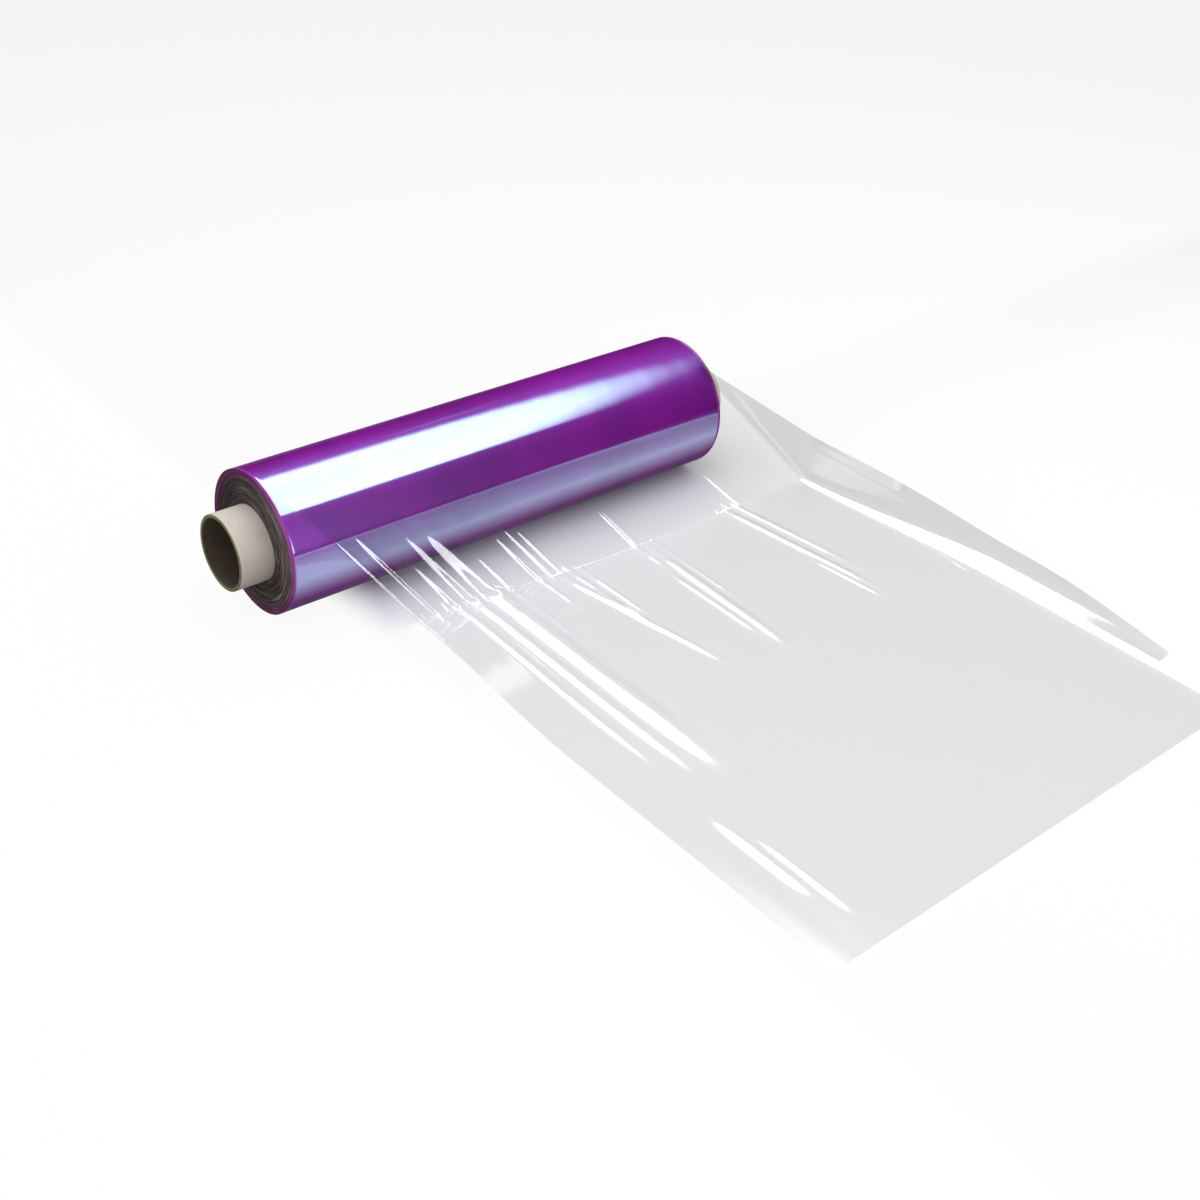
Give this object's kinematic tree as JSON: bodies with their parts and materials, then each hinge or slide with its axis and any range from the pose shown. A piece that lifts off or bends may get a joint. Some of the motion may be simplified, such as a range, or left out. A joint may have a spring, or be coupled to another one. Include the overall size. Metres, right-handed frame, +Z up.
{
  "type": "roll of cling film",
  "caption": "Roll of clear plastic food film wound on a paperboard tube, lying on its side with a length of film pulled off the roll and laid flat in front of it.",
  "frame": {"origin": "on the core's axis, half way along the roll", "axes": "+X along the core's axis, -Y the way the film is pulled out, +Z up; the table is at z = -0.040"},
  "size_m": [0.378, 0.41, 0.08],
  "materials": {
    "paperboard": "spiral-wound kraft paperboard with a pale cream liner, matt, cut rims darker",
    "wound_film": "hundreds of turns of tinted PVC film, high gloss, violet to magenta",
    "clear_film": "single layer of clear plasticised PVC film, high gloss, see-through"
  },
  "bodies": {
    "root": {"core": "paperboard", "wound_film": "wound_film", "pulled_web": "clear_film"}
  },
  "joints": []
}
